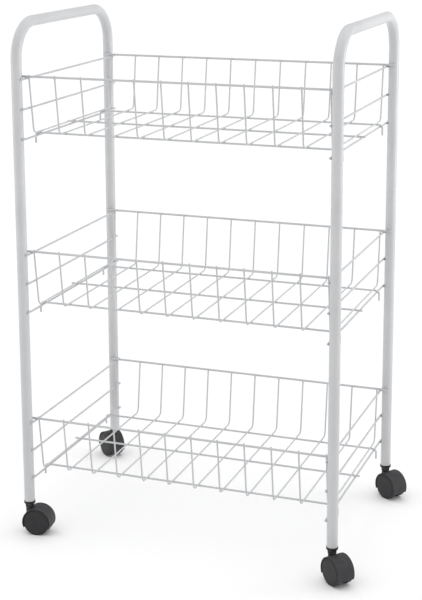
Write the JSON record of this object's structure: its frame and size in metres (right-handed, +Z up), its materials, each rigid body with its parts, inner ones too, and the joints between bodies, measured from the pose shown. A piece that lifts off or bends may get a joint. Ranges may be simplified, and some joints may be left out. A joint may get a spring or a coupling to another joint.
{
  "type": "rolling utility cart",
  "caption": "Three-tier rolling cart: wire baskets hooked between two bent-tube end frames, on swivelling twin-wheel casters.",
  "frame": {"origin": "on the floor, midway between the four legs", "axes": "+Z up, -Y the front, +X to the right as seen from the front"},
  "size_m": [0.5543, 0.3888, 0.788],
  "materials": {
    "coated_tube": "satin white powder coat on bent steel tube",
    "coated_wire": "satin white powder coat on welded steel wire",
    "insert_plastic": "moulded black polypropylene",
    "hood_plastic": "moulded black nylon, fine texture",
    "wheel_plastic": "moulded black nylon, smooth",
    "plated_steel": "turned and zinc plated",
    "spring_steel": "blued spring steel"
  },
  "bodies": {
    "cart": {"back_left_caster_grip_ring": "spring_steel", "back_left_caster_insert": "insert_plastic", "back_left_caster_stem": "plated_steel", "back_right_caster_grip_ring": "spring_steel", "back_right_caster_insert": "insert_plastic", "back_right_caster_stem": "plated_steel", "bottom_basket_back_hook_wire": "coated_wire", "bottom_basket_back_rim": "coated_wire", "bottom_basket_cross_wires": "coated_wire", "bottom_basket_front_hook_wire": "coated_wire", "bottom_basket_front_rim": "coated_wire", "bottom_basket_middle_wire": "coated_wire", "front_left_caster_grip_ring": "spring_steel", "front_left_caster_insert": "insert_plastic", "front_left_caster_stem": "plated_steel", "front_right_caster_grip_ring": "spring_steel", "front_right_caster_insert": "insert_plastic", "front_right_caster_stem": "plated_steel", "left_bottom_side_wires": "coated_wire", "left_end_tube": "coated_tube", "left_middle_side_wires": "coated_wire", "left_top_side_wires": "coated_wire", "middle_basket_back_hook_wire": "coated_wire", "middle_basket_back_rim": "coated_wire", "middle_basket_cross_wires": "coated_wire", "middle_basket_front_hook_wire": "coated_wire", "middle_basket_front_rim": "coated_wire", "middle_basket_middle_wire": "coated_wire", "right_bottom_side_wires": "coated_wire", "right_end_tube": "coated_tube", "right_middle_side_wires": "coated_wire", "right_top_side_wires": "coated_wire", "top_basket_back_hook_wire": "coated_wire", "top_basket_back_rim": "coated_wire", "top_basket_cross_wires": "coated_wire", "top_basket_front_hook_wire": "coated_wire", "top_basket_front_rim": "coated_wire", "top_basket_middle_wire": "coated_wire"},
    "front_left_caster": {"front_left_caster_hood": "hood_plastic", "front_left_caster_axle": "plated_steel"},
    "front_left_left_wheel": {"front_left_caster_left_wheel": "wheel_plastic"},
    "front_left_right_wheel": {"front_left_caster_right_wheel": "wheel_plastic"},
    "front_right_caster": {"front_right_caster_hood": "hood_plastic", "front_right_caster_axle": "plated_steel"},
    "front_right_left_wheel": {"front_right_caster_left_wheel": "wheel_plastic"},
    "front_right_right_wheel": {"front_right_caster_right_wheel": "wheel_plastic"},
    "back_right_caster": {"back_right_caster_hood": "hood_plastic", "back_right_caster_axle": "plated_steel"},
    "back_right_left_wheel": {"back_right_caster_left_wheel": "wheel_plastic"},
    "back_right_right_wheel": {"back_right_caster_right_wheel": "wheel_plastic"},
    "back_left_caster": {"back_left_caster_hood": "hood_plastic", "back_left_caster_axle": "plated_steel"},
    "back_left_left_wheel": {"back_left_caster_left_wheel": "wheel_plastic"},
    "back_left_right_wheel": {"back_left_caster_right_wheel": "wheel_plastic"}
  },
  "joints": [
    {"name": "front_left_swivel", "type": "hinge", "parent": "cart", "child": "front_left_caster", "pos_m": [-0.24, -0.161, 0.03], "axis": [0, 0, 1], "continuous": true},
    {"name": "front_left_left_wheel_spin", "type": "hinge", "parent": "front_left_caster", "child": "front_left_left_wheel", "pos_m": [-0.2263, -0.15932, 0.02], "axis": [-0.1219, 0.9925, 0], "continuous": true},
    {"name": "front_left_right_wheel_spin", "type": "hinge", "parent": "front_left_caster", "child": "front_left_right_wheel", "pos_m": [-0.2263, -0.15932, 0.02], "axis": [-0.1219, 0.9925, 0], "continuous": true},
    {"name": "front_right_swivel", "type": "hinge", "parent": "cart", "child": "front_right_caster", "pos_m": [0.24, -0.161, 0.03], "axis": [0, 0, 1], "continuous": true},
    {"name": "front_right_left_wheel_spin", "type": "hinge", "parent": "front_right_caster", "child": "front_right_left_wheel", "pos_m": [0.25072, -0.16969, 0.02], "axis": [0.6293, 0.7771, 0], "continuous": true},
    {"name": "front_right_right_wheel_spin", "type": "hinge", "parent": "front_right_caster", "child": "front_right_right_wheel", "pos_m": [0.25072, -0.16969, 0.02], "axis": [0.6293, 0.7771, 0], "continuous": true},
    {"name": "back_right_swivel", "type": "hinge", "parent": "cart", "child": "back_right_caster", "pos_m": [0.24, 0.161, 0.03], "axis": [0, 0, 1], "continuous": true},
    {"name": "back_right_left_wheel_spin", "type": "hinge", "parent": "back_right_caster", "child": "back_right_left_wheel", "pos_m": [0.25144, 0.15328, 0.02], "axis": [0.5592, 0.829, 0], "continuous": true},
    {"name": "back_right_right_wheel_spin", "type": "hinge", "parent": "back_right_caster", "child": "back_right_right_wheel", "pos_m": [0.25144, 0.15328, 0.02], "axis": [0.5592, 0.829, 0], "continuous": true},
    {"name": "back_left_swivel", "type": "hinge", "parent": "cart", "child": "back_left_caster", "pos_m": [-0.24, 0.161, 0.03], "axis": [0, 0, 1], "continuous": true},
    {"name": "back_left_left_wheel_spin", "type": "hinge", "parent": "back_left_caster", "child": "back_left_left_wheel", "pos_m": [-0.25072, 0.16969, 0.02], "axis": [-0.6293, -0.7771, 0], "continuous": true},
    {"name": "back_left_right_wheel_spin", "type": "hinge", "parent": "back_left_caster", "child": "back_left_right_wheel", "pos_m": [-0.25072, 0.16969, 0.02], "axis": [-0.6293, -0.7771, 0], "continuous": true}
  ]
}
